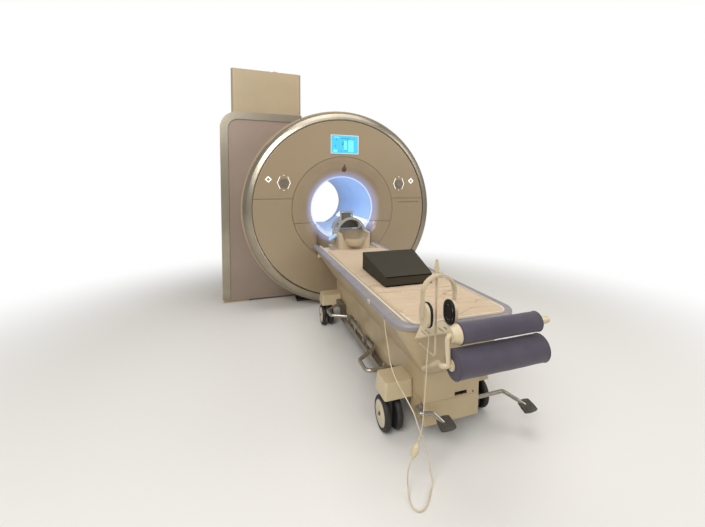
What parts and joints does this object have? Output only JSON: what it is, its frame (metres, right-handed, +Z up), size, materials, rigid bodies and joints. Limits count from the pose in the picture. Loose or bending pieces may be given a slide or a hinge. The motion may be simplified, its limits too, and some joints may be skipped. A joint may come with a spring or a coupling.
{
  "type": "mri scanner",
  "caption": "Magnetic resonance scanner: round housing with a patient bore, service wing and ceiling duct, and a docked wheeled patient table with lift, sliding top, coil and headphones.",
  "frame": {"origin": "on the floor under the bore axis, in the plane of the front face", "axes": "+Y runs into the bore from the front, +X to the right seen from the front, +Z up"},
  "size_m": [2.363, 4.362, 2.68],
  "materials": {
    "cast_frame": "dark grey paint",
    "bare_steel": "plain stainless steel",
    "bare_aluminium": "plain aluminium",
    "resin": "cast resin",
    "bore_shell": "smooth pale laminate",
    "light_guide": "lit light guide",
    "bore_plastic": "pale moulded plastic",
    "face_gloss": "glossy champagne lacquer",
    "ring_silver": "satin silver paint",
    "cream_cover": "satin cream",
    "wing_mauve": "glossy taupe lacquer",
    "bezel_plastic": "pale frame",
    "screen_glass": "lit display glass",
    "amber_window": "dark amber window",
    "lit_mark": "lit white marks",
    "dial_plastic": "satin grey",
    "cream_metal": "cream paint",
    "table_cream": "satin cream",
    "grey_sleeve": "light grey paint",
    "rail_bumper": "padded bumper, lavender grey",
    "paper_roll": "lavender couch roll",
    "phones_plastic": "cream plastic",
    "top_plastic": "pale laminate",
    "mattress_vinyl": "cream sheeting",
    "cushion_vinyl": "dark grey-green covering",
    "coil_plastic": "white moulded plastic",
    "castor_fork": "grey paint",
    "castor_tyre": "black rubber",
    "pedal_metal": "pale bar, dark pad",
    "hose_cream": "cream rubber"
  },
  "bodies": {
    "gantry": {"magnet_feet": "cast_frame", "vacuum_vessel": "bare_steel", "cold_mass": "bare_aluminium", "gradient_coil": "resin", "bore_liner": "bore_shell", "light_ring": "light_guide", "bore_bed": "bore_plastic", "funnel_upper": "face_gloss", "funnel_lower": "face_gloss", "face_upper": "face_gloss", "face_lower": "face_gloss", "face_ring": "ring_silver", "drum_covers": "cream_cover", "rear_cover": "cream_cover", "wing_panel": "wing_mauve", "wing_trim": "ring_silver", "wing_housing": "cream_cover", "duct_cover": "cream_cover", "vent_pipe": "bare_steel", "cold_head": "bare_aluminium", "display_bezel": "bezel_plastic", "display_screen": "screen_glass", "laser_window": "amber_window", "control_lights": "lit_mark"},
    "dial_left": {"dial_left": "dial_plastic"},
    "dial_right": {"dial_right": "dial_plastic"},
    "trolley": {"chassis": "cream_metal", "base_cover": "table_cream", "castor_covers": "table_cream"},
    "lift_middle": {"telescopic_cover": "grey_sleeve"},
    "table_frame": {"lift_columns": "bare_steel", "table_body": "table_cream", "side_rails": "rail_bumper", "roll_holder": "cream_metal", "headphone_stand": "cream_metal", "headband": "phones_plastic", "call_bulb": "hose_cream", "call_hose": "hose_cream", "headphone_hose": "hose_cream"},
    "roll_upper": {"roll_upper": "paper_roll"},
    "roll_lower": {"roll_lower": "paper_roll"},
    "ear_cup_left": {"ear_cup_left": "phones_plastic"},
    "ear_cup_right": {"ear_cup_right": "phones_plastic"},
    "tabletop": {"tabletop": "top_plastic", "mattress": "mattress_vinyl", "cushion": "cushion_vinyl", "coil_base": "coil_plastic"},
    "coil_lid": {"coil_top": "coil_plastic"},
    "side_bar_left": {"side_bar_left": "cream_metal"},
    "side_bar_right": {"side_bar_right": "cream_metal"},
    "pedal_left": {"pedal_left": "pedal_metal"},
    "pedal_right": {"pedal_right": "pedal_metal"},
    "castor_foot_left": {"fork_foot_left": "castor_fork"},
    "wheels_foot_left": {"wheels_foot_left": "castor_tyre"},
    "castor_foot_right": {"fork_foot_right": "castor_fork"},
    "wheels_foot_right": {"wheels_foot_right": "castor_tyre"},
    "castor_head_left": {"fork_head_left": "castor_fork"},
    "wheels_head_left": {"wheels_head_left": "castor_tyre"},
    "castor_head_right": {"fork_head_right": "castor_fork"},
    "wheels_head_right": {"wheels_head_right": "castor_tyre"}
  },
  "joints": [
    {"name": "table_dock", "type": "slide", "parent": "gantry", "child": "trolley", "axis": [0, 1, 0], "range_m": [-1.5, 0]},
    {"name": "lift_middle", "type": "slide", "parent": "trolley", "child": "lift_middle", "axis": [0, 0, 1], "range_m": [-0.04, 0.125]},
    {"name": "table_lift", "type": "slide", "parent": "trolley", "child": "table_frame", "axis": [0, 0, 1], "range_m": [-0.08, 0.25]},
    {"name": "tabletop_travel", "type": "slide", "parent": "table_frame", "child": "tabletop", "axis": [0, 1, 0], "range_m": [0, 0.18]},
    {"name": "coil_lid_lift", "type": "slide", "parent": "tabletop", "child": "coil_lid", "axis": [0, 0, 1], "range_m": [0, 0.12]},
    {"name": "swivel_foot_left", "type": "hinge", "parent": "trolley", "child": "castor_foot_left", "pos_m": [-0.283, -1.983, 0.2], "axis": [0, 0, 1], "continuous": true},
    {"name": "roll_foot_left", "type": "hinge", "parent": "castor_foot_left", "child": "wheels_foot_left", "pos_m": [-0.283, -2.008, 0.095], "axis": [1, 0, 0], "continuous": true},
    {"name": "swivel_foot_right", "type": "hinge", "parent": "trolley", "child": "castor_foot_right", "pos_m": [0.283, -1.983, 0.2], "axis": [0, 0, 1], "continuous": true},
    {"name": "roll_foot_right", "type": "hinge", "parent": "castor_foot_right", "child": "wheels_foot_right", "pos_m": [0.283, -2.008, 0.095], "axis": [1, 0, 0], "continuous": true},
    {"name": "swivel_head_left", "type": "hinge", "parent": "trolley", "child": "castor_head_left", "pos_m": [-0.302, -0.433, 0.2], "axis": [0, 0, 1], "continuous": true},
    {"name": "roll_head_left", "type": "hinge", "parent": "castor_head_left", "child": "wheels_head_left", "pos_m": [-0.302, -0.458, 0.095], "axis": [1, 0, 0], "continuous": true},
    {"name": "swivel_head_right", "type": "hinge", "parent": "trolley", "child": "castor_head_right", "pos_m": [0.302, -0.433, 0.2], "axis": [0, 0, 1], "continuous": true},
    {"name": "roll_head_right", "type": "hinge", "parent": "castor_head_right", "child": "wheels_head_right", "pos_m": [0.302, -0.458, 0.095], "axis": [1, 0, 0], "continuous": true},
    {"name": "brake_bar_left", "type": "hinge", "parent": "trolley", "child": "side_bar_left", "pos_m": [-0.25, -1.4, 0.29], "axis": [0, 1, 0], "range_deg": [-12, 12]},
    {"name": "pedal_left", "type": "hinge", "parent": "trolley", "child": "pedal_left", "pos_m": [-0.085, -2.19, 0.215], "axis": [1, 0, 0], "range_deg": [0, 12]},
    {"name": "dial_left", "type": "hinge", "parent": "gantry", "child": "dial_left", "pos_m": [-0.653, 0, 1.367], "axis": [0, 1, 0], "continuous": true},
    {"name": "ear_cup_left", "type": "hinge", "parent": "table_frame", "child": "ear_cup_left", "pos_m": [-0.3055, -2.442, 0.81], "axis": [1, 0, 0], "range_deg": [-15, 15]},
    {"name": "brake_bar_right", "type": "hinge", "parent": "trolley", "child": "side_bar_right", "pos_m": [0.25, -1.4, 0.29], "axis": [0, 1, 0], "range_deg": [-12, 12]},
    {"name": "pedal_right", "type": "hinge", "parent": "trolley", "child": "pedal_right", "pos_m": [0.115, -2.19, 0.19], "axis": [1, 0, 0], "range_deg": [0, 12]},
    {"name": "dial_right", "type": "hinge", "parent": "gantry", "child": "dial_right", "pos_m": [0.653, 0, 1.367], "axis": [0, 1, 0], "continuous": true},
    {"name": "ear_cup_right", "type": "hinge", "parent": "table_frame", "child": "ear_cup_right", "pos_m": [-0.1585, -2.442, 0.81], "axis": [1, 0, 0], "range_deg": [-15, 15]},
    {"name": "roll_upper", "type": "hinge", "parent": "table_frame", "child": "roll_upper", "pos_m": [0, -2.555, 0.76], "axis": [1, 0, 0], "continuous": true},
    {"name": "roll_lower", "type": "hinge", "parent": "table_frame", "child": "roll_lower", "pos_m": [0, -2.568, 0.64], "axis": [1, 0, 0], "continuous": true}
  ],
  "couplings": [
    {"joint": "lift_middle", "follows": "table_lift", "ratio": 0.5}
  ]
}
